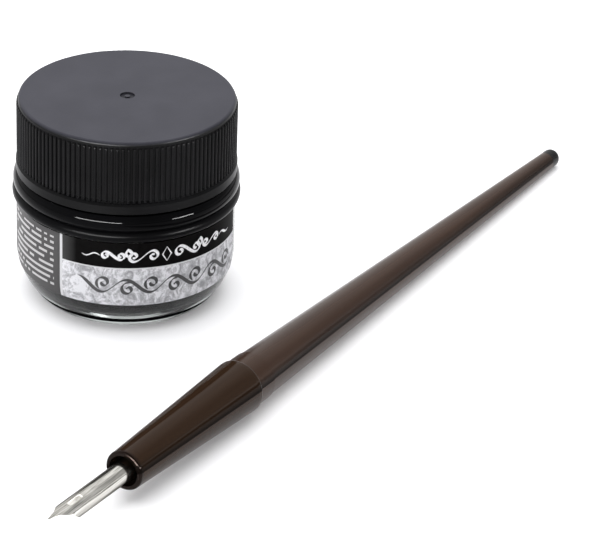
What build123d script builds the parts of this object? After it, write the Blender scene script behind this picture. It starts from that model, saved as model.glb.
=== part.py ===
from build123d import *
from math import atan, cos, degrees, pi, radians, sin
import os

# Calligraphy set: a screw-capped glass ink jar with a dip pen lying beside it.
# All sizes are in millimetres. +Z is up, the origin is the centre of the jar's
# base on the table, and +X runs along the pen from its nib to its tail.

# ---- Jar glass ----
panel_r = 19.0             # straight wall behind the label
foot_inset = 3.8           # the flat base is this much smaller in radius
foot_round = 0.5
heel_top = 8.6             # where the rounded heel meets the straight wall
wall_height = 9.4          # straight wall, up to the lower bead
lower_bead_out = 0.8       # how far each bead and its groove stand off the wall
lower_bead_height = 2.0
bead_groove_out = 0.2
upper_bead_out = 0.65
upper_bead_height = 2.9
shoulder_ledge = 2.6       # flat ledge round the neck, just under the cap
glass_wall = 2.4
floor_thickness = 3.05
cavity_corner_r = 3.8      # round between the hollow's floor and its wall
throat_low_drop = 3.3      # the hollow starts to close this far below the ledge
throat_high_rise = 1.3     # and has reached the neck's bore this far above it

# ---- Jar neck ----
neck_r = 16.3
neck_wall = 2.4
neck_height = 11.2
neck_root_round = 0.5
rim_round = 0.6

# ---- Ink and label ----
ink_level = 17.4
label_thickness = 0.1
label_low = 5.7
label_top_margin = 0.2     # bare glass between the label and the lower bead
label_gap_start = -71.0    # the wrap-round label is open between these two
label_gap_end = -36.0      # directions, in degrees from +X

# ---- Screw thread shared by neck and cap ----
thread_lead = 4.233        # six threads to the inch
thread_turns = 1.25
thread_drop = 7.5          # from the rim down to the middle of the thread's start
thread_depth = 1.1
thread_root_width = 2.0
thread_crest_width = 0.8
thread_bite = 0.25         # how far each thread is sunk in its own wall
cap_thread_root_width = 1.8
cap_thread_crest_width = 0.7
thread_clearance = 0.3     # radial, between each crest and the wall it faces
thread_play = 0.2          # along Z, between the two pulling flanks
run_out = 14.0             # degrees over which each thread end fades out

# ---- Cap and its liner ----
cap_gap = 0.45             # between the jar's ledge and the cap's lower edge
cap_wall = 1.02            # at the bottom of the grooves between the ribs
cap_roof = 1.4
cap_edge_round = 0.55
band_out = 0.43            # smooth band round the cap's lower edge
band_height = 1.65
band_slope = 0.2           # half the height of the slope that ends the band
rib_pitch = 0.9486
rib_r = 0.3
rib_top_margin = 0.9       # plain wall between the ribs and the cap's top
rib_end = 0.5              # length of each rounded rib end
gate_r = 1.3               # moulding gate in the middle of the roof
gate_depth = 0.3
gate_nub_r = 0.45
gate_nub_height = 0.2
liner_thickness = 1.0
liner_play = 0.5           # radial, so that the cap turns round the liner

# ---- Nib ----
nib_r = 1.775
nib_wall = 0.25
nib_length = 30.55
nib_reach = 20.95          # how far the nib stands out of the grip
nib_roll = 13.0            # degrees the slit is turned from straight up
nib_tip_width = 0.24
nib_waist_at = 2.1         # each of these three is a distance from the tip
nib_shoulder_at = 3.9
nib_cut_at = 5.3           # the tube's sides start here
nib_waist_width = 1.0
nib_shoulder_width = 2.6
nib_cut_width = 2.9
nib_cut_low = 0.5          # height of the cut edges under the point
nib_cut_run = 3.5          # length over which the cut falls away to nothing
nib_seam = 0.25
vent_at = 5.3
vent_length = 3.5
vent_width = 0.85
slit_width = 0.04

# ---- Pen: local X runs along its axis, with 0 at the back face of the grip ----
grip_length = 34.1
grip_r = 4.72              # widest point, at the back
grip_land = 1.2            # short straight run before the back edge
grip_edge_round = 0.5
grip_lip_wall = 0.75       # plastic round the open mouth
grip_lip_round = 0.45
collet_wall = 0.85
nib_fit = 0.025            # radial play of the nib in the collet
collet_depth = 4.0         # from the mouth to the front of the collet
collet_length = 9.0
collet_slots = 4
collet_slot_width = 0.5
collet_slot_length = 6.5
collet_chamfer = 0.35
passage_step = 0.175       # ledge behind the nib, in radius
spigot_r = 3.2
spigot_length = 10.0
spigot_chamfer = 0.4
spigot_wall = 1.0
collar_step = 0.35         # the collar sits this far inside the grip's back edge
collar_length = 4.0
shaft_step = 0.16          # and the shaft this far inside the collar
shaft_length = 107.7
tail_r = 1.72
tail_wall = 0.72
plug_stem_length = 6.0
plug_land = 1.8            # straight part of the plug's head
plug_flat_r = 0.22         # flat left in the middle of the plug's rounded end

# ---- Where the pen lies ----
pen_x = -25.8              # back face of the grip
pen_gap = 15.58            # clear table between the jar and the pen

# ---- Worked out from the sizes above ----
foot_r = panel_r - foot_inset
panel_top = heel_top + wall_height
bead_groove_z = panel_top + lower_bead_height
shoulder_z = bead_groove_z + upper_bead_height
shoulder_r = neck_r + shoulder_ledge
rim_z = shoulder_z + neck_height
mouth_r = neck_r - neck_wall
cavity_r = panel_r - glass_wall
label_high = panel_top - label_top_margin
thread_low = rim_z - thread_drop
thread_crest_r = neck_r + thread_depth
cap_thread_crest_r = neck_r + thread_clearance
cap_bore_r = thread_crest_r + thread_clearance
cap_core_r = cap_bore_r + cap_wall
band_r = cap_core_r + band_out
cap_low = shoulder_z + cap_gap
band_top = cap_low + band_height
cap_high = rim_z + liner_thickness + cap_roof
rib_low = band_top + band_slope
rib_high = cap_high - rib_top_margin
rib_count = round(2 * pi * cap_core_r / rib_pitch)
collet_r = nib_r + nib_fit
grip_bore_r = collet_r + collet_wall
grip_mouth_r = grip_bore_r + grip_lip_wall
passage_r = nib_r - passage_step
collar_r = grip_r - collar_step
shaft_r = collar_r - shaft_step
shaft_bore_front_r = spigot_r - spigot_wall
shaft_bore_back_r = tail_r - tail_wall
plug_round = tail_r - plug_flat_r
pen_y = -(panel_r + lower_bead_out + pen_gap + grip_r)
rest_span = shaft_length + plug_land + grip_edge_round
pen_tilt = degrees(atan((grip_r - tail_r) / rest_span))
pen_height = grip_r * cos(radians(pen_tilt)) - grip_edge_round * sin(radians(pen_tilt))
diagonal = cos(radians(45))


def turned(*edges):
    """Solid of revolution about Z from a closed outline of (radius, height)."""
    return revolve(Plane.XZ * make_face(list(edges)), Axis.Z)


def ring(inner_r, outer_r, low, high):
    """Plain ring about Z."""
    body = Cylinder(outer_r, high - low, align=(Align.CENTER, Align.CENTER, Align.MIN))
    hole = Cylinder(inner_r, high - low, align=(Align.CENTER, Align.CENTER, Align.MIN))
    return Pos(0, 0, low) * (body - hole)


def slab(low, high):
    """Wide flat slab used to keep one height range of the jar."""
    side = 4 * max(panel_r, neck_r)
    return Pos(0, 0, low) * Box(side, side, high - low, align=(Align.CENTER, Align.CENTER, Align.MIN))


def heel(extra):
    """Arc of the heel: upright where it meets the wall, then in to the foot."""
    drop = panel_r - foot_r
    radius = (drop ** 2 + heel_top ** 2) / (2 * drop)
    half = atan(heel_top / (radius - drop)) / 2
    centre_r = panel_r - radius
    middle = (centre_r + radius * cos(half) + extra, heel_top - radius * sin(half))
    return ThreePointArc((foot_r + extra, 0), middle, (panel_r + extra, heel_top))


def jar_envelope(extra=0.0):
    """Outside of the jar up to its shoulder, grown by extra in radius."""
    bead_low = (panel_r + extra, panel_top)
    lower_bead = (panel_r + lower_bead_out + extra, (panel_top + bead_groove_z) / 2)
    groove = (panel_r + bead_groove_out + extra, bead_groove_z)
    upper_bead = (panel_r + upper_bead_out + extra, (bead_groove_z + shoulder_z) / 2)
    shoulder = (shoulder_r + extra, shoulder_z)
    return turned(
        Line((0, 0), (foot_r + extra, 0)),
        heel(extra),
        Line((panel_r + extra, heel_top), bead_low),
        ThreePointArc(bead_low, lower_bead, groove),
        ThreePointArc(groove, upper_bead, shoulder),
        Polyline(shoulder, (0, shoulder_z), (0, 0)),
    )


def jar_cavity():
    """Hollow of the jar, from its floor out through the mouth."""
    corner_x = cavity_r - cavity_corner_r
    corner_z = floor_thickness + cavity_corner_r
    floor_edge = (corner_x, floor_thickness)
    corner_mid = (corner_x + diagonal * cavity_corner_r, corner_z - diagonal * cavity_corner_r)
    wall_low = (cavity_r, corner_z)
    wall_high = (cavity_r, shoulder_z - throat_low_drop)
    throat = (mouth_r, shoulder_z + throat_high_rise)
    return turned(
        Line((0, floor_thickness), floor_edge),
        ThreePointArc(floor_edge, corner_mid, wall_low),
        Line(wall_low, wall_high),
        Spline(wall_high, throat, tangents=((0, 1), (0, 1))),
        Polyline(throat, (mouth_r, rim_z), (0, rim_z), (0, floor_thickness)),
    )


def helical_rib(wall_r, crest_r, root_width, crest_width, low):
    """One thread: a trapezoid swept up a right-hand helix, with faded ends."""
    outward = 1 if crest_r > wall_r else -1
    sunk_r = wall_r - outward * thread_bite
    depth = abs(crest_r - wall_r)
    sunk_half = root_width / 2 + (root_width - crest_width) / 2 * thread_bite / depth
    path = Helix(thread_lead, thread_lead * thread_turns, wall_r, center=(0, 0, low))
    section = Plane((0, 0, low), x_dir=(1, 0, 0), z_dir=(0, -1, 0)) * make_face(Polyline(
        (sunk_r, -sunk_half), (crest_r, -crest_width / 2), (crest_r, crest_width / 2),
        (sunk_r, sunk_half), close=True))
    rib = sweep(section, path=path, is_frenet=True)
    last = 360 * thread_turns
    rib -= fade(sunk_r, crest_r, 0, run_out, low)
    rib -= fade(sunk_r, crest_r, last, last - run_out, low + thread_lead * thread_turns)
    return rib


def fade(sunk_r, crest_r, end_angle, start_angle, height):
    """Wedge that shaves a thread end down from its crest into its wall."""
    beyond = crest_r + 2 * (crest_r - sunk_r)
    behind = sunk_r - (crest_r - sunk_r)
    past_end = 2 * end_angle - start_angle

    def at(radius, angle):
        return (radius * cos(radians(angle)), radius * sin(radians(angle)))

    outline = Polyline(at(sunk_r, end_angle), at(beyond, start_angle), at(beyond, past_end),
                       at(behind, past_end), at(behind, end_angle), close=True)
    return Pos(0, 0, height - thread_lead / 2) * extrude(make_face(outline), thread_lead)


def jar_body():
    """Glass jar: heel, label wall, two beads, shoulder and threaded neck."""
    glass = jar_envelope()
    glass = fillet(glass.edges().group_by(Axis.Z)[0], foot_round)
    neck = ring(mouth_r, neck_r, shoulder_z, rim_z)
    neck = fillet(neck.edges().group_by(Axis.Z)[-1], rim_round)
    glass = glass + neck
    ledge_edges = glass.edges().filter_by_position(Axis.Z, shoulder_z, shoulder_z)
    glass = fillet(ledge_edges.sort_by(SortBy.RADIUS)[0], neck_root_round)
    glass = glass - (jar_cavity() & slab(0, rim_z - rim_round))
    return glass + helical_rib(neck_r, thread_crest_r, thread_root_width, thread_crest_width, thread_low)


def ink():
    """Ink that fills the hollow up to its level."""
    return jar_cavity() & slab(0, ink_level)


def label():
    """Thin label wrapped round the wall, open at the back."""
    shell = jar_envelope(label_thickness) - jar_envelope()
    band = shell & slab(label_low, label_high)
    middle = radians((label_gap_start + label_gap_end) / 2)
    half = radians((label_gap_end - label_gap_start) / 2)
    reach = 2 * panel_r
    corners = [(0, 0)]
    for angle in (middle - half, middle + half):
        corners.append((reach * cos(angle), reach * sin(angle)))
    gap = extrude(make_face(Polyline(*corners, close=True)), label_high + 1)
    return band - gap


def cap_ribs():
    """Ring of upright ribs with rounded ends."""
    outline = Circle(cap_core_r) + PolarLocations(cap_core_r, rib_count) * Circle(rib_r)
    bars = Pos(0, 0, rib_low) * extrude(outline, rib_high - rib_low)
    crest = cap_core_r + rib_r
    middle = (rib_low + rib_high) / 2
    round_r = cap_core_r + diagonal * rib_r
    round_rise = (1 - diagonal) * rib_end
    envelope = turned(
        Line((0, rib_low), (cap_core_r, rib_low)),
        ThreePointArc((cap_core_r, rib_low), (round_r, rib_low + round_rise), (crest, rib_low + rib_end)),
        Line((crest, rib_low + rib_end), (crest, rib_high - rib_end)),
        ThreePointArc((crest, rib_high - rib_end), (round_r, rib_high - round_rise), (cap_core_r, rib_high)),
        Polyline((cap_core_r, rib_high), (0, rib_high), (0, middle), (0, rib_low)),
    )
    return bars & envelope


def cap_shell():
    """Ribbed screw cap with its inside thread and the gate mark on its roof."""
    body = Pos(0, 0, cap_low) * Cylinder(cap_core_r, cap_high - cap_low,
                                         align=(Align.CENTER, Align.CENTER, Align.MIN))
    body = fillet(body.edges().group_by(Axis.Z)[-1], cap_edge_round)
    band = turned(Polyline((0, cap_low), (band_r, cap_low), (band_r, band_top - band_slope),
                           (cap_core_r, band_top + band_slope), (0, band_top + band_slope), close=True))
    shell = body + band + cap_ribs()
    hollow = Pos(0, 0, cap_low) * Cylinder(cap_bore_r, cap_high - cap_roof - cap_low,
                                           align=(Align.CENTER, Align.CENTER, Align.MIN))
    shell -= hollow
    dish = ring(gate_nub_r, gate_r, cap_high - gate_depth, cap_high)
    trim = Pos(0, 0, cap_high - gate_depth + gate_nub_height) * Cylinder(
        gate_nub_r, gate_depth, align=(Align.CENTER, Align.CENTER, Align.MIN))
    shell -= dish + trim
    return shell + cap_thread()


def cap_thread():
    """Thread inside the cap, just under the neck's thread."""
    neck_half = (thread_root_width + thread_crest_width) / 4
    cap_half = (cap_thread_root_width + cap_thread_crest_width) / 4
    low = thread_low - neck_half - cap_half - thread_play
    return helical_rib(cap_bore_r, cap_thread_crest_r, cap_thread_root_width, cap_thread_crest_width, low)


def cap_liner():
    """Sealing disc between the cap's roof and the jar's rim."""
    return Pos(0, 0, rim_z) * Cylinder(cap_bore_r - liner_play, liner_thickness,
                                       align=(Align.CENTER, Align.CENTER, Align.MIN))


def along_pen(*edges):
    """Solid of revolution about the pen's axis from an outline of (x, radius)."""
    return revolve(make_face(list(edges)), Axis.X)


def lay_down(piece):
    """Move a pen piece from its own axis to where the pen lies on the table."""
    return Location((pen_x, pen_y, pen_height), (0, pen_tilt, 0)) * piece


def pen_grip():
    """Tapered finger grip, open for the nib in front and for the shaft behind."""
    mouth = -grip_length
    outside = along_pen(Polyline((mouth, 0), (mouth, grip_mouth_r), (-grip_land, grip_r),
                                 (0, grip_r), (0, 0), close=True))
    outside = fillet(outside.edges().group_by(Axis.X)[0], grip_lip_round)
    outside = fillet(outside.edges().group_by(Axis.X)[-1], grip_edge_round)
    collet_back = mouth + collet_depth + collet_length
    bore = along_pen(Polyline(
        (mouth, 0), (mouth, grip_bore_r), (collet_back, grip_bore_r), (collet_back, passage_r),
        (-spigot_length, passage_r), (-spigot_length, spigot_r), (0, spigot_r), (0, 0), close=True))
    return outside - bore


def nib_collet():
    """Slotted sleeve inside the grip that holds the nib's tube."""
    front = -grip_length + collet_depth
    back = front + collet_length
    sleeve = along_pen(Polyline(
        (front, collet_r + collet_chamfer), (front, grip_bore_r), (back, grip_bore_r),
        (back, collet_r), (front + collet_chamfer, collet_r), close=True))
    for turn in range(collet_slots):
        cut = Box(collet_slot_length, collet_slot_width, grip_bore_r,
                  align=(Align.MIN, Align.CENTER, Align.MIN))
        sleeve -= Rot(360 * turn / collet_slots, 0, 0) * Pos(front, 0, collet_r / 2) * cut
    return sleeve


def nib():
    """Tube nib: a rolled sheet with a seam below, cut away to a split point."""
    tip = -grip_length - nib_reach
    tail = tip + nib_length
    wide = nib_r + nib_wall
    tube = along_pen(Polyline((tip, nib_r - nib_wall), (tip, nib_r), (tail, nib_r),
                              (tail, nib_r - nib_wall), close=True))
    side = [(tip, nib_tip_width / 2), (tip + nib_waist_at, nib_waist_width / 2),
            (tip + nib_shoulder_at, nib_shoulder_width / 2), (tip + nib_cut_at, nib_cut_width / 2),
            (tip + nib_cut_at, wide), (tail, wide)]
    mirrored = [(x, -y) for x, y in reversed(side)]
    plan = Pos(0, 0, -wide) * extrude(make_face(Polyline(*side, *mirrored, close=True)), 2 * wide)
    profile = Plane.XZ * make_face(Polyline(
        (tip, nib_cut_low), (tip + nib_cut_at, nib_cut_low), (tip + nib_cut_at + nib_cut_run, -wide),
        (tail, -wide), (tail, wide), (tip, wide), close=True))
    point = tube & plan & extrude(profile, wide, both=True)
    vent = SlotOverall(vent_length, vent_width)
    point -= Pos(tip + vent_at + vent_length / 2, 0, 0) * extrude(vent, wide)
    slit = Box(vent_at + vent_width, slit_width, wide, align=(Align.MIN, Align.CENTER, Align.MIN))
    point -= Pos(tip, 0, 0) * slit
    seam = Box(nib_length, nib_seam, wide, align=(Align.MIN, Align.CENTER, Align.MAX))
    point -= Pos(tip, 0, 0) * seam
    return Rot(nib_roll, 0, 0) * point


def pen_shaft():
    """Tapered hollow shaft with a collar and a spigot that plugs into the grip."""
    outside = along_pen(Polyline(
        (-spigot_length, 0), (-spigot_length, spigot_r - spigot_chamfer),
        (-spigot_length + spigot_chamfer, spigot_r), (0, spigot_r), (0, collar_r),
        (collar_length, collar_r), (collar_length, shaft_r), (shaft_length, tail_r),
        (shaft_length, 0), close=True))
    bore_end = shaft_length - plug_stem_length
    bore = along_pen(Polyline(
        (-spigot_length, 0), (-spigot_length, shaft_bore_front_r), (bore_end, shaft_bore_back_r),
        (shaft_length, shaft_bore_back_r), (shaft_length, 0), close=True))
    return outside - bore


def end_plug():
    """Rounded plug that closes the shaft's tail."""
    stem_start = shaft_length - plug_stem_length
    end = shaft_length + plug_land + plug_round
    plug = along_pen(Polyline(
        (stem_start, 0), (stem_start, shaft_bore_back_r), (shaft_length, shaft_bore_back_r),
        (shaft_length, tail_r), (end, tail_r), (end, 0), close=True))
    return fillet(plug.edges().group_by(Axis.X)[-1], plug_round)


nodes = {
    "jar_body": jar_body(),
    "ink": ink(),
    "label": label(),
    "cap_shell": cap_shell(),
    "cap_liner": cap_liner(),
    "pen_grip": lay_down(pen_grip()),
    "nib_collet": lay_down(nib_collet()),
    "nib": lay_down(nib()),
    "pen_shaft": lay_down(pen_shaft()),
    "end_plug": lay_down(end_plug()),
}

os.makedirs("parts", exist_ok=True)
for name, solid in nodes.items():
    solid.label = name
    export_step(solid, f"parts/{name}.step")
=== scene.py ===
from math import atan2, cos, pi, radians, sin

import bpy
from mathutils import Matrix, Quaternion, Vector

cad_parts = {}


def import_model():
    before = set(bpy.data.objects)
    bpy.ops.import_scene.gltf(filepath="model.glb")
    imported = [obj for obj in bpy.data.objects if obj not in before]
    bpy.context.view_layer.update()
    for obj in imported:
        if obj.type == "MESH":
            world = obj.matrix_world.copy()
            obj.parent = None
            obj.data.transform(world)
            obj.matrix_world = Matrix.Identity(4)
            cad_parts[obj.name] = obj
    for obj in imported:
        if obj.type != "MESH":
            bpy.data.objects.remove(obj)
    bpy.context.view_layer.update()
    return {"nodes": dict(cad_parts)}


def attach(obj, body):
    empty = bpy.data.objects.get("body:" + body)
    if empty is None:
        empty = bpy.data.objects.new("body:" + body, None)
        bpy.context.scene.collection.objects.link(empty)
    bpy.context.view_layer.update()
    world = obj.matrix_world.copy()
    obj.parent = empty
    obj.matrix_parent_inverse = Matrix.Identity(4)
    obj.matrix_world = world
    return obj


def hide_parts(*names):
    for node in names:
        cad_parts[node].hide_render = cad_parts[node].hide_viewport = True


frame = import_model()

MM = 0.001
nodes = frame["nodes"]


# ---------------------------------------------------------------- materials

def srgb(code, alpha=1.0):
    """Linear colour from an sRGB hex code such as "#1a1b1c"."""
    linear = []
    for i in (1, 3, 5):
        value = int(code[i:i + 2], 16) / 255
        linear.append(value / 12.92 if value <= 0.04045 else ((value + 0.055) / 1.055) ** 2.4)
    return (*linear, alpha)


def new_material(name, **sockets):
    """Empty material with a Principled shader whose sockets hold the given values."""
    material = bpy.data.materials.new(name)
    material.use_nodes = True
    tree = material.node_tree
    shader = tree.nodes["Principled BSDF"]
    for key, value in sockets.items():
        shader.inputs[key.replace("_", " ")].default_value = value
    return material, tree, shader


def add(tree, kind, links=None, values=None, stops=(), **settings):
    """One node with its settings.

    Links and values go to its inputs, by name or number, and stops, which are pairs of
    position and colour, to its colour ramp.
    """
    node = tree.nodes.new(kind)
    for key, value in settings.items():
        setattr(node, key, value)
    for key, value in (values or {}).items():
        node.inputs[key].default_value = value
    for key, source in (links or {}).items():
        tree.links.new(source, node.inputs[key])
    if stops:
        elements = node.color_ramp.elements
        while len(elements) < len(stops):
            elements.new(0.5)
        for element, (position, colour) in zip(elements, stops):
            element.position = position
            element.color = colour
    return node


def grained(name, noise, stops, rough=None, **sockets):
    """Material whose colour, and roughness where a range is given, follow one fine noise."""
    material, tree, shader = new_material(name, **sockets)
    place = add(tree, "ShaderNodeTexCoord").outputs["Object"]
    grain = add(tree, "ShaderNodeTexNoise", {"Vector": place}, noise).outputs["Fac"]
    colour = add(tree, "ShaderNodeValToRGB", {0: grain},
                 stops=[(position, srgb(code)) for position, code in stops])
    tree.links.new(colour.outputs[0], shader.inputs["Base Color"])
    if rough:
        gloss = add(tree, "ShaderNodeMapRange", {"Value": grain},
                    {"To Min": rough[0], "To Max": rough[1]})
        tree.links.new(gloss.outputs[0], shader.inputs["Roughness"])
    return material


bead_band_r = 18.8 * MM        # the glass of the two beads lies outside this radius
bead_band_z = 20.42 * MM       # middle of the two beads
bead_band_half = 2.5 * MM
low_bead_top = 20.0 * MM
# painted shade: a black line round the foot, for the dark that the thick foot refracts
painted_foot_shade_r = 14.4 * MM
painted_foot_shade_z = 1.55 * MM
painted_foot_shade_half = 0.55 * MM
heel_tint_start = 5.0 * MM     # going down, the thick heel's grey begins here
heel_tint_full = 3.6 * MM


def soda_glass():
    # Clear soda-lime glass, pressed in a mould, with a faint tint that wavers over about 11 mm.
    # Where the ink lies right behind the two beads the glass reads as black. A matt line round
    # the heel is painted black too, a painted shade for the dark that the thick foot refracts
    # where it stands on the table. The heel's thick glass is greyer.
    material, tree, shader = new_material("pressed_soda_glass", IOR=1.52,
                                          Specular_Tint=(0.5, 0.5, 0.5, 1.0))
    place = add(tree, "ShaderNodeTexCoord").outputs["Object"]
    height = add(tree, "ShaderNodeSeparateXYZ", {0: place}).outputs["Z"]
    flat = add(tree, "ShaderNodeVectorMath", {0: place}, {1: (1.0, 1.0, 0.0)},
               operation="MULTIPLY")
    radius = add(tree, "ShaderNodeVectorMath", {0: flat.outputs[0]},
                 operation="LENGTH").outputs["Value"]

    outside = add(tree, "ShaderNodeMath", {0: radius}, {1: bead_band_r},
                  operation="GREATER_THAN")
    beads = add(tree, "ShaderNodeMath", {0: height}, {1: bead_band_z, 2: bead_band_half},
                operation="COMPARE")
    bead_band = add(tree, "ShaderNodeMath", {0: outside.outputs[0], 1: beads.outputs[0]},
                    operation="MULTIPLY")
    # Painted shade: the glass is opaque black in a line round the foot.
    rim = add(tree, "ShaderNodeMath", {0: radius}, {1: painted_foot_shade_r},
              operation="GREATER_THAN")
    low = add(tree, "ShaderNodeMath", {0: height}, {1: painted_foot_shade_z, 2: painted_foot_shade_half},
              operation="COMPARE")
    painted_foot_shade = add(tree, "ShaderNodeMath", {0: rim.outputs[0], 1: low.outputs[0]},
                    operation="MULTIPLY")
    ink_backed_or_shaded = add(tree, "ShaderNodeMath", {0: bead_band.outputs[0], 1: painted_foot_shade.outputs[0]},
                 operation="MAXIMUM")
    clear = add(tree, "ShaderNodeMath", {1: ink_backed_or_shaded.outputs[0]}, {0: 1.0},
                operation="SUBTRACT")
    tree.links.new(clear.outputs[0], shader.inputs["Transmission Weight"])

    gloss = add(tree, "ShaderNodeMapRange", {"Value": bead_band.outputs[0]},
                {"To Min": 0.12, "To Max": 0.05})
    matt = add(tree, "ShaderNodeMix", {0: painted_foot_shade.outputs[0], "A": gloss.outputs[0]},
               {"B": 0.0}, data_type="FLOAT")
    tree.links.new(matt.outputs[0], shader.inputs["Specular IOR Level"])
    low_bead = add(tree, "ShaderNodeMath", {0: height}, {1: low_bead_top},
                   operation="LESS_THAN")
    dull = add(tree, "ShaderNodeMath", {0: low_bead.outputs[0], 1: ink_backed_or_shaded.outputs[0]},
               operation="MULTIPLY")
    rough = add(tree, "ShaderNodeMapRange", {"Value": dull.outputs[0]},
                {"To Min": 0.02, "To Max": 0.3})
    tree.links.new(rough.outputs[0], shader.inputs["Roughness"])

    wave = add(tree, "ShaderNodeTexNoise", {"Vector": place}, {"Scale": 90.0, "Detail": 1.0})
    wall, heel, dark = (
        add(tree, "ShaderNodeValToRGB", {0: wave.outputs["Fac"]},
            stops=((0.3, srgb(first)), (0.7, srgb(second)))).outputs[0]
        for first, second in (("#e9f1ef", "#f2f6f5"), ("#b9bfbe", "#c3c8c7"),
                              ("#060607", "#0d0d0f")))
    thick = add(tree, "ShaderNodeMapRange", {"Value": height},
                {"From Min": heel_tint_start, "From Max": heel_tint_full})
    tint = add(tree, "ShaderNodeMix", {0: thick.outputs[0], 6: wall, 7: heel},
               data_type="RGBA")
    # Black where ink lies behind the beads, and as painted shade in the line round the foot.
    colour = add(tree, "ShaderNodeMix", {0: ink_backed_or_shaded.outputs[0], 6: tint.outputs[2], 7: dark},
                 data_type="RGBA")
    tree.links.new(colour.outputs[2], shader.inputs["Base Color"])
    return material


label_face_r = 19.1              # outer face of the label's straight part, in millimetres
label_turn = radians(-128.0)     # puts the label's open gap where its unrolled wrap ends
divider_place = label_face_r * MM * radians(50.6)    # along the wrap
divider_half = 0.26 * MM
border_height = 13.0 * MM        # black field above, silver field below
border_half = 0.12 * MM
row_pitch = 1.15 * MM
row_run = 0.72 * MM              # shortest printed run in a row, and shortest gap
row_low = 6.9 * MM
row_high = 16.8 * MM
column_middle = divider_place - 8.2 * MM
column_half = 6.6 * MM


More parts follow.
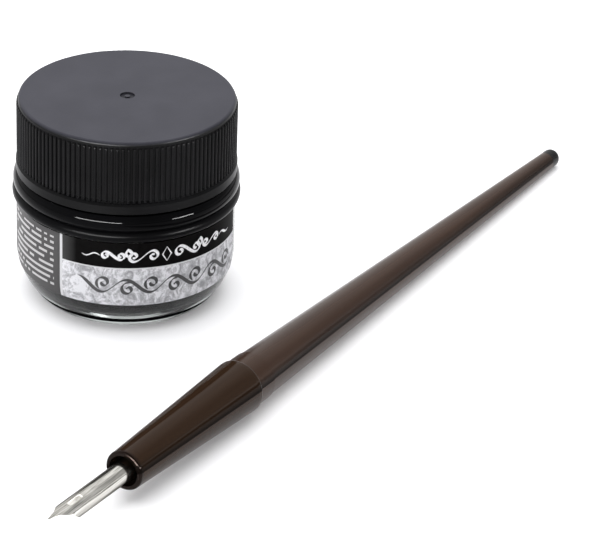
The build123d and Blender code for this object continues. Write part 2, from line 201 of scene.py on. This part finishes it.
def label_print():
    # Coated label paper printed offset: black and silver grey in front, dark grey with
    # fine pale rows at the side, and pale ruled lines between the fields. The coat is
    # glossier on the side field.
    material, tree, shader = new_material("coated_label_paper", IOR=1.45)
    place = add(tree, "ShaderNodeTexCoord").outputs["Object"]
    turned = add(tree, "ShaderNodeMapping", {0: place}, {"Rotation": (0, 0, label_turn)})
    part = add(tree, "ShaderNodeSeparateXYZ", {0: turned.outputs[0]})
    height = part.outputs["Z"]
    angle = add(tree, "ShaderNodeMath", {0: part.outputs["Y"], 1: part.outputs["X"]},
                operation="ARCTAN2")
    around = add(tree, "ShaderNodeMath", {0: angle.outputs[0]}, {1: label_face_r * MM},
                 operation="MULTIPLY").outputs[0]
    front = add(tree, "ShaderNodeMath", {0: around}, {1: divider_place},
                operation="GREATER_THAN")
    upper = add(tree, "ShaderNodeMath", {0: height}, {1: border_height},
                operation="GREATER_THAN")

    # Silver: flake of about 0.25 mm, coarser than the real one so that it shows, over
    # soft curling clouds of about 2.5 mm.
    flake = add(tree, "ShaderNodeTexNoise", {"Vector": place}, {"Scale": 4200.0, "Detail": 2.0})
    cloud = add(tree, "ShaderNodeTexNoise", {"Vector": place},
                {"Scale": 420.0, "Detail": 3.0, "Distortion": 2.2})
    silver_mix = add(tree, "ShaderNodeMix", {"A": flake.outputs["Fac"], "B": cloud.outputs["Fac"]},
                     {"Factor": 0.7}, data_type="FLOAT")
    silver = add(tree, "ShaderNodeValToRGB", {0: silver_mix.outputs[0]},
                 stops=((0.38, srgb("#9c9ca0")), (0.48, srgb("#bdbdc1")),
                        (0.58, srgb("#e6e6ea"))))
    black = add(tree, "ShaderNodeValToRGB", {0: cloud.outputs["Fac"]},
                stops=((0.3, srgb("#060505")), (0.7, srgb("#0b0a0a"))))
    side_grey = add(tree, "ShaderNodeValToRGB", {0: cloud.outputs["Fac"]},
                    stops=((0.3, srgb("#222021")), (0.7, srgb("#2c2a2b"))))

    # Pale rows: bands across the height, broken into short runs along each row.
    row_place = add(tree, "ShaderNodeMath", {0: height}, {1: row_pitch}, operation="DIVIDE")
    row_number = add(tree, "ShaderNodeMath", {0: row_place.outputs[0]}, operation="FLOOR")
    row_part = add(tree, "ShaderNodeMath", {0: row_place.outputs[0]}, operation="FRACT")
    row_face = add(tree, "ShaderNodeMath", {0: row_part.outputs[0]}, {1: 0.5, 2: 0.21},
                   operation="COMPARE")
    run_place = add(tree, "ShaderNodeMath", {0: around}, {1: row_run}, operation="DIVIDE")
    run_at = add(tree, "ShaderNodeCombineXYZ", {0: run_place.outputs[0], 1: row_number.outputs[0]})
    whole = add(tree, "ShaderNodeVectorMath", {0: run_at.outputs[0]}, operation="FLOOR")
    chance = add(tree, "ShaderNodeTexWhiteNoise", {"Vector": whole.outputs[0]},
                 noise_dimensions="2D")
    inked = add(tree, "ShaderNodeMath", {0: chance.outputs["Value"]}, {1: 0.22},
                operation="GREATER_THAN")
    column = add(tree, "ShaderNodeMath", {0: around}, {1: column_middle, 2: column_half},
                 operation="COMPARE")
    above_low = add(tree, "ShaderNodeMath", {0: height}, {1: row_low}, operation="GREATER_THAN")
    below_high = add(tree, "ShaderNodeMath", {0: height}, {1: row_high}, operation="LESS_THAN")
    rows = row_face
    for limit in (inked, column, above_low, below_high):
        rows = add(tree, "ShaderNodeMath", {0: rows.outputs[0], 1: limit.outputs[0]},
                   operation="MULTIPLY")

    divider = add(tree, "ShaderNodeMath", {0: around}, {1: divider_place, 2: divider_half},
                  operation="COMPARE")
    border = add(tree, "ShaderNodeMath", {0: height}, {1: border_height, 2: border_half},
                 operation="COMPARE")
    border = add(tree, "ShaderNodeMath", {0: border.outputs[0], 1: front.outputs[0]},
                 operation="MULTIPLY")

    fields = add(tree, "ShaderNodeMix",
                 {0: upper.outputs[0], 6: silver.outputs[0], 7: black.outputs[0]},
                 data_type="RGBA")
    colour = add(tree, "ShaderNodeMix",
                 {0: front.outputs[0], 6: side_grey.outputs[0], 7: fields.outputs[2]},
                 data_type="RGBA")
    for shape, ink in ((rows, "#bab8b9"), (border, "#d9d9db"), (divider, "#d2d2d4")):
        colour = add(tree, "ShaderNodeMix", {0: shape.outputs[0], 6: colour.outputs[2]},
                     {7: srgb(ink)}, data_type="RGBA")
    tree.links.new(colour.outputs[2], shader.inputs["Base Color"])

    coat = add(tree, "ShaderNodeMapRange", {"Value": around},
               {"From Min": divider_place - 1.0 * MM, "From Max": divider_place + 3.0 * MM,
                "To Min": 0.5, "To Max": 0.02})
    tree.links.new(coat.outputs[0], shader.inputs["Specular IOR Level"])
    rough = add(tree, "ShaderNodeMapRange", {"Value": cloud.outputs["Fac"]},
                {"To Min": 0.38, "To Max": 0.5})
    tree.links.new(rough.outputs[0], shader.inputs["Roughness"])
    return material


# the roof's painted sheen fades in between these heights
roof_start = 36.0 * MM
roof_full = 36.45 * MM
rib_end_z = 25.45 * MM
rib_end_half = 0.3 * MM


def cap_polypropylene():
    # Black polypropylene, injection moulded: satin, with a spark-eroded grain, drawn as
    # coarse as 0.4 mm so that it shows, and smears of about 7 mm. The roof is painted paler
    # than the ribs, a painted sheen for the light that it catches from above. The ribs' lower
    # ends are shinier.
    material, tree, shader = new_material("black_polypropylene", IOR=1.36, Specular_IOR_Level=0.12)
    place = add(tree, "ShaderNodeTexCoord").outputs["Object"]
    grain = add(tree, "ShaderNodeTexNoise", {"Vector": place}, {"Scale": 2600.0, "Detail": 3.0})
    smear = add(tree, "ShaderNodeTexNoise", {"Vector": place}, {"Scale": 140.0, "Detail": 5.0})
    height = add(tree, "ShaderNodeSeparateXYZ", {0: place}).outputs["Z"]
    top_sheen_fade = add(tree, "ShaderNodeMapRange", {"Value": height},
               {"From Min": roof_start, "From Max": roof_full})
    side = add(tree, "ShaderNodeValToRGB", {0: smear.outputs["Fac"]},
               stops=((0.35, srgb("#09090a")), (0.7, srgb("#0f0f11"))))
    # Painted sheen: the roof is painted paler for the light it catches from above.
    painted_top_sheen = add(tree, "ShaderNodeValToRGB", {0: smear.outputs["Fac"]},
                stops=((0.35, srgb("#36363d")), (0.7, srgb("#3c3c43"))))
    colour = add(tree, "ShaderNodeMix",
                 {0: top_sheen_fade.outputs[0], 6: side.outputs[0], 7: painted_top_sheen.outputs[0]},
                 data_type="RGBA")
    tree.links.new(colour.outputs[2], shader.inputs["Base Color"])
    satin = add(tree, "ShaderNodeMapRange", {"Value": smear.outputs["Fac"]},
                {"To Min": 0.3, "To Max": 0.4})
    rib_end = add(tree, "ShaderNodeMath", {0: height}, {1: rib_end_z, 2: rib_end_half},
                  operation="COMPARE")
    rough = add(tree, "ShaderNodeMix", {0: rib_end.outputs[0], "A": satin.outputs[0]},
                {"B": 0.12}, data_type="FLOAT")
    tree.links.new(rough.outputs[0], shader.inputs["Roughness"])
    bump = add(tree, "ShaderNodeBump", {"Height": grain.outputs["Fac"]},
               {"Strength": 0.15, "Distance": 0.05 * MM})
    tree.links.new(bump.outputs[0], shader.inputs["Normal"])
    return material


grip_front = -59.9 * MM        # the grip's lip, along X
nib_axis_point = Vector((-25.8, -40.095, 4.72)) * MM
pen_tilt = 0.02727             # radians that the pen's tail lies below its nib
parting_angle = radians(9.5)   # the mould's parting plane, out of level
# painted shade above the parting line: full at this height, gone at the next
draft_shade_full = 0.3 * MM
draft_shade_end = 1.8 * MM
nib_bore_r = 1.65 * MM


def from_pen_axis(tree, place):
    """A place measured from a point of the pen's axis, with X along that axis."""
    moved = add(tree, "ShaderNodeVectorMath", {0: place}, {1: nib_axis_point},
                operation="SUBTRACT")
    return add(tree, "ShaderNodeMapping", {0: moved.outputs[0]},
               {"Rotation": (0, -pen_tilt, 0)}).outputs[0]


def brown_plastic(name, dark, light, gloss, smooth, dull):
    # Dark brown polystyrene, injection moulded: glossy, with a faint flow along the pen,
    # in streaks of about 33 by 2.5 mm. The lip round the grip's mouth is darker.
    material, tree, shader = new_material(name, IOR=1.45, Specular_Tint=(1.0, 0.8, 0.7, 1.0))
    place = add(tree, "ShaderNodeTexCoord").outputs["Object"]
    along = add(tree, "ShaderNodeMapping", {0: place}, {"Scale": (30.0, 400.0, 400.0)})
    flow = add(tree, "ShaderNodeTexNoise", {"Vector": along.outputs[0]},
               {"Scale": 1.0, "Detail": 4.0})
    plain = add(tree, "ShaderNodeValToRGB", {0: flow.outputs["Fac"]},
                stops=((0.3, srgb(dark)), (0.7, srgb(light))))
    along_pen = add(tree, "ShaderNodeSeparateXYZ", {0: place}).outputs["X"]
    lip = add(tree, "ShaderNodeMapRange", {"Value": along_pen},
              {"From Min": grip_front + 1.0 * MM, "From Max": grip_front + 0.3 * MM})
    dark_lip = add(tree, "ShaderNodeMix", {0: lip.outputs[0], 6: plain.outputs[0]},
                  {7: srgb("#110a08")}, data_type="RGBA")

    # The mould parts along the pen's sides. Right above that line the draft turns the face
    # from the light, which the round solid leaves out, so shade is painted there: dark at the
    # line and fading upward, and the gloss drops with it.
    above = add(tree, "ShaderNodeVectorMath", {0: from_pen_axis(tree, place)},
                {1: (0, sin(parting_angle), cos(parting_angle))},
                operation="DOT_PRODUCT").outputs["Value"]
    past = add(tree, "ShaderNodeMath", {0: above}, {1: 0.0}, operation="GREATER_THAN")
    fade = add(tree, "ShaderNodeMapRange", {"Value": above},
               {"From Min": draft_shade_full, "From Max": draft_shade_end, "To Min": 0.85, "To Max": 0.0})
    painted_draft_shade = add(tree, "ShaderNodeMath", {0: past.outputs[0], 1: fade.outputs[0]},
               operation="MULTIPLY")
    colour = add(tree, "ShaderNodeMix", {0: painted_draft_shade.outputs[0], 6: dark_lip.outputs[2]},
                 {7: srgb("#0d0a08")}, data_type="RGBA")
    tree.links.new(colour.outputs[2], shader.inputs["Base Color"])
    glossy = add(tree, "ShaderNodeMapRange", {"Value": painted_draft_shade.outputs[0]},
                 {"To Min": gloss, "To Max": 0.0})
    tree.links.new(glossy.outputs[0], shader.inputs["Specular IOR Level"])
    rough = add(tree, "ShaderNodeMapRange", {"Value": flow.outputs["Fac"]},
                {"To Min": smooth, "To Max": dull})
    tree.links.new(rough.outputs[0], shader.inputs["Roughness"])
    return material


def nib_steel():
    # Rolled spring steel, tumbled bright: scratches along the strip, drawn as coarse as
    # 7 by 0.2 mm so that they show. Its reflection is tinted dark towards its edges, a painted
    # shade, and its inside is dull and painted pale, a painted light for the light that comes
    # in through its vent.
    # The dark specular tint dims the reflection towards the edges, a painted shade.
    material, tree, shader = new_material("rolled_spring_steel", Metallic=1.0,
                                          Specular_Tint=(0.1, 0.1, 0.1, 1.0))
    place = add(tree, "ShaderNodeTexCoord").outputs["Object"]
    along = add(tree, "ShaderNodeMapping", {0: place}, {"Scale": (150.0, 6000.0, 6000.0)})
    scratch = add(tree, "ShaderNodeTexNoise", {"Vector": along.outputs[0]},
                  {"Scale": 1.0, "Detail": 3.0})
    outer = add(tree, "ShaderNodeValToRGB", {0: scratch.outputs["Fac"]},
                stops=((0.35, srgb("#9b9994")), (0.5, srgb("#c6c4be")),
                       (0.65, srgb("#dfddd8"))))
    bright = add(tree, "ShaderNodeMapRange", {"Value": scratch.outputs["Fac"]},
                 {"To Min": 0.08, "To Max": 0.2})
    across = add(tree, "ShaderNodeVectorMath", {0: from_pen_axis(tree, place)}, {1: (0, 1, 1)},
                 operation="MULTIPLY")
    radius = add(tree, "ShaderNodeVectorMath", {0: across.outputs[0]}, operation="LENGTH")
    inside = add(tree, "ShaderNodeMath", {0: radius.outputs["Value"]}, {1: nib_bore_r},
                 operation="LESS_THAN")
    # Painted light: the inside is painted pale.
    colour = add(tree, "ShaderNodeMix", {0: inside.outputs[0], 6: outer.outputs[0]},
                 {7: srgb("#f4f3f0")}, data_type="RGBA")
    tree.links.new(colour.outputs[2], shader.inputs["Base Color"])
    rough = add(tree, "ShaderNodeMix", {0: inside.outputs[0], "A": bright.outputs[0]},
                {"B": 0.75}, data_type="FLOAT")
    tree.links.new(rough.outputs[0], shader.inputs["Roughness"])
    return material


def black_ink():
    # Carbon-black writing ink: opaque, wet and glossy, with pigment in clouds of 3 mm.
    return grained("carbon_black_ink", {"Scale": 300.0, "Detail": 3.0},
                   ((0.3, "#050506"), (0.7, "#0b0b0d")), Roughness=0.06, IOR=1.34)


def dried_ink():
    # Carbon-black ink dried on the glass: opaque, uneven over about 8 mm, with a duller face.
    return grained("dried_carbon_ink", {"Scale": 120.0, "Detail": 2.0},
                   ((0.35, "#040404"), (0.7, "#080808")), rough=(0.15, 0.25),
                   IOR=1.34, Specular_IOR_Level=0.1)


def pulp_board():
    # White-lined pulp board, die cut and waxed: soft grey-white face with 0.7 mm fibres.
    return grained("waxed_pulp_board", {"Scale": 1500.0, "Detail": 4.0, "Distortion": 1.5},
                   ((0.35, "#b9b4a6"), (0.65, "#d8d4c8")), rough=(0.5, 0.7), IOR=1.45)


def black_moulding(name, dark, light, rough):
    # Black styrene, injection moulded: an even colour, with a drag in the gloss of 1.4 mm.
    return grained(name, {"Scale": 700.0, "Detail": 3.0}, ((0.35, dark), (0.65, light)),
                   rough=rough, IOR=1.45, Specular_IOR_Level=0.15)


def print_ink(name, dark, light):
    # Offset printing ink lying on the label: flat, and starved in spots of 0.4 mm.
    return grained(name, {"Scale": 2500.0, "Detail": 3.0}, ((0.35, dark), (0.6, light)),
                   IOR=1.45, Roughness=0.4)


def paint(node, material):
    """Give a carried CAD node its finished material."""
    for place in nodes[node].material_slots:
        place.material = material


paint("jar_body", soda_glass())
paint("cap_liner", pulp_board())
paint("label", label_print())
paint("cap_shell", cap_polypropylene())
paint("pen_grip", brown_plastic("brown_polystyrene_grip", "#25180f", "#2c1f15",
                                gloss=0.15, smooth=0.08, dull=0.14))
paint("pen_shaft", brown_plastic("brown_polystyrene_shaft", "#291a12", "#332218",
                                 gloss=0.28, smooth=0.2, dull=0.28))
paint("nib", nib_steel())
paint("nib_collet", black_moulding("black_styrene_collet", "#070708", "#0c0c0d", (0.35, 0.5)))
paint("end_plug", black_moulding("black_styrene_plug", "#0a0a0b", "#101011", (0.2, 0.3)))


# ---------------------------------------------------------------- ink in the jar

def pick(piece):
    """Make one piece the only selected one, and active."""
    bpy.ops.object.select_all(action="DESELECT")
    piece.select_set(True)
    bpy.context.view_layer.objects.active = piece


def copy_of(node, name):
    """Merged copy of a CAD node's mesh, as a piece of its own."""
    piece = bpy.data.objects.new(name, nodes[node].data.copy())
    piece.data.name = name
    piece.data.materials.clear()
    bpy.context.scene.collection.objects.link(piece)
    pick(piece)
    bpy.ops.object.mode_set(mode="EDIT")
    bpy.ops.mesh.select_all(action="SELECT")
    bpy.ops.mesh.remove_doubles(threshold=0.001 * MM)
    bpy.ops.object.mode_set(mode="OBJECT")
    return piece


def choose(piece, test):
    """Select, in edit mode, the faces of a piece whose middle and normal pass the test."""
    bpy.ops.object.mode_set(mode="EDIT")
    bpy.ops.mesh.select_mode(type="FACE")
    bpy.ops.mesh.select_all(action="DESELECT")
    bpy.ops.object.mode_set(mode="OBJECT")
    for face in piece.data.polygons:
        face.select = bool(test(face.center, face.normal))
    bpy.ops.object.mode_set(mode="EDIT")


def finish_piece(piece, material, body, angle=35.0):
    """Smooth a piece, give it its material and let it ride on its body."""
    pick(piece)
    bpy.ops.object.shade_smooth_by_angle(angle=radians(angle))
    piece.data.materials.append(material)
    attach(piece, body)


ink_top = 17.4 * MM
wetting = 0.04 * MM            # overlap with the glass, so that no film of air shows
meniscus = ((0.35, 0.3), (0.6, 0.2), (1.0, 0.08))    # width and drop of its rings, in mm
film_low = ink_top - 0.5 * MM
film_top = 24.4 * MM
film_thickness = 0.08 * MM


def on_surface(place, normal):
    """Whether a face belongs to the ink's level surface."""
    return normal.z > 0.9 and place.z > ink_top - 0.1 * MM


def ink_fill():
    """Ink that wets the glass, with its surface drawn up round the wall."""
    piece = copy_of("ink", "ink_fill")
    choose(piece, on_surface)
    bpy.ops.mesh.dissolve_limited(angle_limit=radians(1.0))
    bpy.ops.mesh.select_all(action="SELECT")
    bpy.ops.transform.shrink_fatten(value=wetting)
    bpy.ops.object.mode_set(mode="OBJECT")
    choose(piece, on_surface)
    for width, drop in meniscus:
        bpy.ops.mesh.inset(thickness=width * MM, depth=-drop * MM)
    bpy.ops.object.mode_set(mode="OBJECT")
    finish_piece(piece, black_ink(), "jar", 50.0)
    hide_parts("ink")


def ink_film():
    """Film that the ink has left on the inside of the jar, up to its throat."""
    piece = copy_of("jar_body", "ink_film")
    for height, above in ((film_low, False), (film_top, True)):
        bpy.ops.object.mode_set(mode="EDIT")
        bpy.ops.mesh.select_all(action="SELECT")
        bpy.ops.mesh.bisect(plane_co=(0, 0, height), plane_no=(0, 0, 1), clear_inner=not above,
                            clear_outer=above)
        bpy.ops.object.mode_set(mode="OBJECT")
    choose(piece, lambda place, normal: normal.x * place.x + normal.y * place.y >= 0
           or abs(normal.z) > 0.99)
    bpy.ops.mesh.delete(type="FACE")
    bpy.ops.object.mode_set(mode="OBJECT")
    wall = piece.modifiers.new("film", "SOLIDIFY")
    wall.thickness = film_thickness
    wall.offset = 0.0
    pick(piece)
    bpy.ops.object.modifier_apply(modifier="film")
    finish_piece(piece, dried_ink(), "jar")


ink_fill()
ink_film()


# ---------------------------------------------------------------- printing on the label

# Lengths in this part are in millimetres, until on_label turns them into a place.
heel_start = 8.6               # below this height the label follows the heel's arc
heel_radius = 11.63
front_middle = radians(235.3)
print_thickness = 0.03
nib_hold = radians(40.0)       # angle at which the broad nib is held


def on_label(along, height):
    """Point on the label's face: along its wrap from the front's middle, and its height."""
    radius = label_face_r
    if height < heel_start:
        radius += (heel_radius ** 2 - (heel_start - height) ** 2) ** 0.5 - heel_radius
    angle = front_middle + along / label_face_r
    return Vector((radius * cos(angle), radius * sin(angle), height)) * MM


def pen_stroke(points, thin, broad, places, faces):
    """Add one stroke of a broad nib along the points to a mesh's places and faces."""
    taper_length, blunt_end = 5, 0.15
    first = len(places)
    last = len(points) - 1
    for i, point in enumerate(points):
        before = Vector(points[max(i - 1, 0)])
        after = Vector(points[min(i + 1, last)])
        direction = (after - before).normalized()
        across = Vector((-direction.y, direction.x))
        turn = abs(sin(atan2(direction.y, direction.x) - nib_hold))
        taper = min(1.0, min(i, last - i) / taper_length + blunt_end)
        half = (thin + broad * turn) / 2 * taper
        for side in (1, -1):
            spot = Vector(point) + across * half * side
            places.append(on_label(spot.x, spot.y))
    for i in range(last):
        a = first + 2 * i
        faces.append((a, a + 1, a + 3, a + 2))


def face_outwards():
    """Recalculate the normals of the active piece."""
    bpy.ops.object.mode_set(mode="EDIT")
    bpy.ops.mesh.select_all(action="SELECT")
    bpy.ops.mesh.normals_make_consistent(inside=False)
    bpy.ops.object.mode_set(mode="OBJECT")


def printed(name, strokes, thin, broad, material):
    """Printed ornament: its strokes as one film on the label."""
    places, faces = [], []
    for points in strokes:
        pen_stroke(points, thin, broad, places, faces)
    data = bpy.data.meshes.new(name)
    data.from_pydata(places, [], faces)
    piece = bpy.data.objects.new(name, data)
    bpy.context.scene.collection.objects.link(piece)
    pick(piece)
    face_outwards()
    outward = data.polygons[0].normal.dot(Vector((*data.polygons[0].center.xy, 0)))
    film = piece.modifiers.new("film", "SOLIDIFY")
    film.thickness = print_thickness * MM
    film.offset = 1.0 if outward > 0 else -1.0
    bpy.ops.object.modifier_apply(modifier="film")
    face_outwards()
    finish_piece(piece, material, "jar", 60.0)


def scroll(turns, start_radius, end_radius, start_angle, centre, side):
    """Points of a spiral that winds in towards its centre."""
    points = []
    count = 48
    for i in range(count + 1):
        t = i / count
        radius = start_radius + (end_radius - start_radius) * t ** 0.8
        angle = start_angle + side * 2 * pi * turns * t
        points.append((centre[0] + radius * cos(angle), centre[1] + radius * sin(angle)))
    return points


def wave(start, end, middle, swell, period, phase):
    """Points of a running wave along the label."""
    points = []
    count = 96
    for i in range(count + 1):
        along = start + (end - start) * i / count
        points.append((along, middle + swell * sin(2 * pi * along / period + phase)))
    return points


def s_scroll(middle, reach, radius, height, flip):
    """Points of one S: it winds out of one curl, crosses over and winds into the other."""
    turns, shrink = 1.15, 0.86
    curl_count, cross_count = 40, 12
    points = []
    for i in range(curl_count + 1):
        t = 1 - i / curl_count
        angle = pi / 2 + 2 * pi * turns * t
        size = radius * (1 - shrink * t)
        points.append((-reach + size * cos(angle), size * sin(angle)))
    for i in range(1, cross_count):
        t = i / cross_count
        ease = t * t * (3 - 2 * t)
        points.append((-reach + 2 * reach * t, radius * (1 - 2 * ease)))
    for i in range(curl_count + 1):
        t = i / curl_count
        angle = -pi / 2 + 2 * pi * turns * t
        size = radius * (1 - shrink * t)
        points.append((reach + size * cos(angle), size * sin(angle)))
    return [(middle + flip * x, height + y) for x, y in points]


def leaf(tip, foot, bulge):
    """Points of a small leaf, out along one side and back along the other."""
    tip, foot = Vector(tip), Vector(foot)
    along = tip - foot
    across = Vector((-along.y, along.x)) * bulge
    points = []
    count = 24
    for i in range(count + 1):
        t = i / count
        side = 1 if t < 0.5 else -1
        run = 2 * t if t < 0.5 else 2 - 2 * t
        spot = foot + along * run + across * side * sin(pi * run)
        points.append((spot.x, spot.y))
    return points


def band_scrolls():
    """White scrollwork on the black band: two S scrolls on each side of a lozenge."""
    strokes = []
    middle = 15.35
    lozenge_half = 1.35
    tail_start, tail_step = 11.6, 0.4
    for side in (1, -1):
        strokes.append(s_scroll(side * 4.1, 1.65, 0.98, middle, side))
        strokes.append(s_scroll(side * 9.3, 1.3, 0.72, middle + 0.1, -side))
        strokes.append(leaf((side * 6.75, middle + 1.35), (side * 6.45, middle - 0.3), 0.3))
        strokes.append([(side * (tail_start + tail_step * i), middle + 0.35 * sin(0.75 * i))
                        for i in range(9)])
        strokes.append([(0.0, middle - lozenge_half), (side * 0.5, middle - 0.5),
                        (side * 0.8, middle), (side * 0.5, middle + 0.5),
                        (0.0, middle + lozenge_half)])
    printed("label_band_scrolls", strokes, 0.16, 0.4,
            print_ink("white_offset_ink", "#dcdcdf", "#f6f6f8"))


def silver_vine():
    """Dark running vine on the silver field, a curl in each bend."""
    middle, swell, period, phase = 9.6, 1.25, 8.4, 0.6
    vine_end, last_curl = 15.5, 14.5
    strokes = [wave(-vine_end, vine_end, middle, swell, period, phase)]
    for k in range(-3, 5):
        along = period * (k / 2 - 0.25) - phase * period / (2 * pi)
        up = 1 if k % 2 == 0 else -1
        if abs(along) > last_curl:
            continue
        centre = (along + 0.35, middle + up * 0.55)
        strokes.append(scroll(1.3, 1.45, 0.2, radians(90 * up + 150), centre, -up))
    printed("label_silver_vine", strokes, 0.14, 0.5,
            print_ink("black_offset_ink", "#131214", "#242327"))


band_scrolls()
silver_vine()


# ---------------------------------------------------------------- stage

table_size = 6
table_lift = 0.12      # keeps the table white to the eye while its shadows stay pale


def floor():
    """Plain pale table that also fills the background."""
    bpy.ops.mesh.primitive_plane_add(size=table_size, location=(0, 0, 0))
    table = bpy.context.object
    table.name = "table_top"
    material, tree, shader = new_material(
        "matt_white_card", Roughness=0.9, Base_Color=srgb("#f0f0f2"),
        Specular_IOR_Level=0.0, Emission_Color=(1, 1, 1, 1))
    ray = add(tree, "ShaderNodeLightPath")
    shown = add(tree, "ShaderNodeMath", {0: ray.outputs["Is Camera Ray"],
                                         1: ray.outputs["Is Glossy Ray"]}, operation="ADD")
    shown = add(tree, "ShaderNodeMath", {0: shown.outputs[0],
                                         1: ray.outputs["Is Transmission Ray"]}, operation="ADD")
    lift = add(tree, "ShaderNodeMath", {0: shown.outputs[0]}, {1: table_lift},
               operation="MULTIPLY")
    tree.links.new(lift.outputs[0], shader.inputs["Emission Strength"])
    table.data.materials.append(material)


def softbox(name, place, aim, width, depth, power, gleam=False):
    """Rectangular area lamp that points at a spot; a gleam shows only in glossy surfaces."""
    lamp = bpy.data.lights.new(name, "AREA")
    lamp.shape = "RECTANGLE"
    lamp.size = width
    lamp.size_y = depth
    lamp.energy = power
    holder = bpy.data.objects.new(name, lamp)
    holder.location = place
    holder.rotation_mode = "QUATERNION"
    holder.rotation_quaternion = (Vector(aim) - Vector(place)).to_track_quat("-Z", "Y")
    holder.visible_glossy = gleam
    holder.visible_diffuse = not gleam
    holder.visible_transmission = not gleam
    bpy.context.scene.collection.objects.link(holder)


room_strength = 1.15
wall_side = (0.3, 0.954, 0.0)
window_side = (0.73, -0.68, 0.0)


def grey(level):
    """Plain grey of that linear level."""
    return (level, level, level, 1.0)


def world():
    """Studio round the table.

    Its grey levels go by the height of the direction: a bright wall behind the object, and
    in front a dim room, dark near the table, with a low strip of light that is stronger at
    the window's side. The camera itself sees plain white.
    """
    studio = bpy.data.worlds.new("studio")
    studio.use_nodes = True
    bpy.context.scene.world = studio
    tree = studio.node_tree
    room = tree.nodes["Background"]
    direction = add(tree, "ShaderNodeTexCoord").outputs["Generated"]
    height = add(tree, "ShaderNodeSeparateXYZ", {0: direction}).outputs["Z"]
    wall, front, window = (
        add(tree, "ShaderNodeValToRGB", {0: height},
            stops=[(position, grey(level)) for position, level in levels]).outputs[0]
        for levels in (((0.02, 0.3), (0.1, 1.1), (0.7, 1.0), (0.95, 0.25)),
                       ((0.11, 0.01), (0.13, 1.0), (0.19, 1.0), (0.3, 0.5)),
                       ((0.115, 0.01), (0.13, 1.7), (0.17, 1.7), (0.22, 0.5))))
    beside = add(tree, "ShaderNodeVectorMath", {0: direction}, {1: window_side},
                 operation="DOT_PRODUCT")
    near_window = add(tree, "ShaderNodeMapRange", {"Value": beside.outputs["Value"]},
                      {"From Min": 0.8, "From Max": 0.88}, interpolation_type="SMOOTHSTEP")
    front = add(tree, "ShaderNodeMix", {"Factor": near_window.outputs[0], 6: front, 7: window},
                data_type="RGBA").outputs[2]
    behind = add(tree, "ShaderNodeVectorMath", {0: direction}, {1: wall_side},
                 operation="DOT_PRODUCT")
    near_wall = add(tree, "ShaderNodeMapRange", {"Value": behind.outputs["Value"]},
                    {"From Min": -0.25, "From Max": 0.25}, interpolation_type="SMOOTHSTEP")
    around = add(tree, "ShaderNodeMix", {"Factor": near_wall.outputs[0], 6: front, 7: wall},
                 data_type="RGBA")
    tree.links.new(around.outputs[2], room.inputs["Color"])
    room.inputs["Strength"].default_value = room_strength
    backdrop = add(tree, "ShaderNodeBackground", None, {"Color": (1, 1, 1, 1), "Strength": 1.0})
    ray = add(tree, "ShaderNodeLightPath")
    seen = add(tree, "ShaderNodeMixShader", {0: ray.outputs["Is Camera Ray"], 1: room.outputs[0],
                                             2: backdrop.outputs[0]})
    tree.links.new(seen.outputs[0], tree.nodes["World Output"].inputs["Surface"])


camera_place = (-0.4427, -0.2975, 0.2928)
camera_forward = Vector((0.75494, 0.44843, -0.47844))
camera_roll = 0.03601          # radians
lens_length = 210.7            # in millimetres, on a 36 mm sensor


def camera():
    """Camera at the viewing place, with a long lens."""
    lens = bpy.data.cameras.new("camera")
    lens.sensor_width = 36.0
    lens.lens = lens_length
    lens.clip_start = 0.01
    lens.clip_end = 20.0
    holder = bpy.data.objects.new("camera", lens)
    holder.location = camera_place
    holder.rotation_mode = "QUATERNION"
    roll = Quaternion((0, 0, 1), camera_roll)
    holder.rotation_quaternion = camera_forward.to_track_quat("-Z", "Y") @ roll
    bpy.context.scene.collection.objects.link(holder)
    bpy.context.scene.camera = holder


floor()
world()
softbox("overhead_softbox", (0.15, 0.25, 1.4), (0, 0, 0), 2.2, 2.2, 36.0)
softbox("left_strip_light", (-0.883, -0.108, 0.17), (0, 0, 0.02), 0.75, 0.09, 42.0, gleam=True)
softbox("right_strip_light", (0.0, -0.89, 0.17), (0, 0, 0.02), 0.36, 0.09, 20.0, gleam=True)
camera()
bpy.context.scene.view_settings.view_transform = "Standard"
